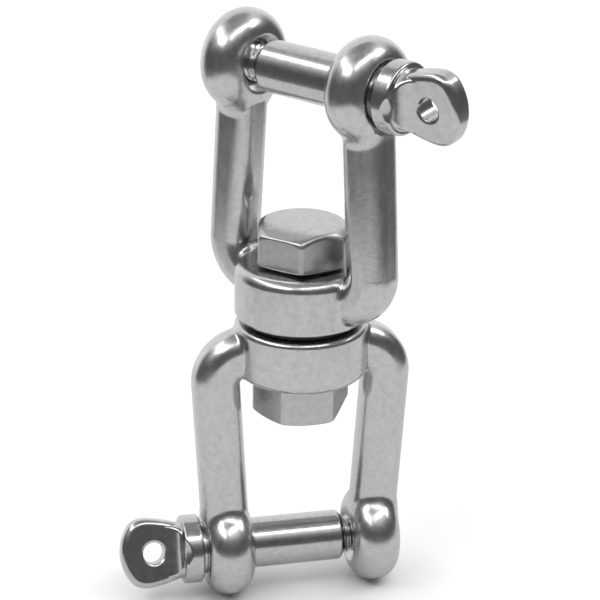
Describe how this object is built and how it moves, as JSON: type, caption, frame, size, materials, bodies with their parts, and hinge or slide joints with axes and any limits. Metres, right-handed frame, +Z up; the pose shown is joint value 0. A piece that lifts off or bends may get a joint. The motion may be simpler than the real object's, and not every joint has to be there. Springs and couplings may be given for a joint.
{
  "type": "jaw and jaw rigging swivel",
  "caption": "Polished stainless rigging swivel: a clevis jaw at each end, each closed by a screw pin with a flat eared head, turning on a central hex bolt.",
  "frame": {"origin": "middle of the upper clevis pin, on its axis and on the swivel axis", "axes": "+Z up along the swivel axis, from the lower jaw to the upper jaw; +X along the upper clevis pin towards its eared head; the lower jaw is stored turned about Z, with its pin's head at 232.4 degrees from +X"},
  "size_m": [0.0487, 0.0401, 0.0938],
  "materials": {
    "cast_stainless": "cast stainless steel, mirror polished, with faint casting ripple",
    "turned_stainless": "machined stainless steel, polished, with fine turning marks",
    "black_washer": "black acetal, matte"
  },
  "bodies": {
    "upper_jaw": {"upper_jaw": "cast_stainless"},
    "swivel_bolt": {"swivel_bolt": "turned_stainless", "swivel_nut": "turned_stainless"},
    "head_washer": {"head_washer": "turned_stainless"},
    "thrust_washer": {"thrust_washer": "black_washer"},
    "lower_jaw": {"lower_jaw": "cast_stainless"},
    "upper_pin": {"upper_clevis_pin": "turned_stainless"},
    "lower_pin": {"lower_clevis_pin": "turned_stainless"}
  },
  "joints": [
    {"name": "jaw_swivel", "type": "hinge", "parent": "upper_jaw", "child": "lower_jaw", "pos_m": [0, 0, -0.039], "axis": [0, 0, 1], "continuous": true},
    {"name": "bolt_turn", "type": "hinge", "parent": "upper_jaw", "child": "swivel_bolt", "pos_m": [0, 0, -0.03], "axis": [0, 0, 1], "continuous": true},
    {"name": "head_washer_turn", "type": "hinge", "parent": "swivel_bolt", "child": "head_washer", "pos_m": [0, 0, -0.03], "axis": [0, 0, 1], "continuous": true},
    {"name": "thrust_washer_turn", "type": "hinge", "parent": "swivel_bolt", "child": "thrust_washer", "pos_m": [0, 0, -0.039], "axis": [0, 0, 1], "continuous": true},
    {"name": "upper_pin_withdraw", "type": "slide", "parent": "upper_jaw", "child": "upper_pin", "axis": [1, 0, 0], "range_m": [0, 0.045]},
    {"name": "lower_pin_withdraw", "type": "slide", "parent": "lower_jaw", "child": "lower_pin", "axis": [-0.6101, -0.7923, 0], "range_m": [0, 0.045]}
  ]
}
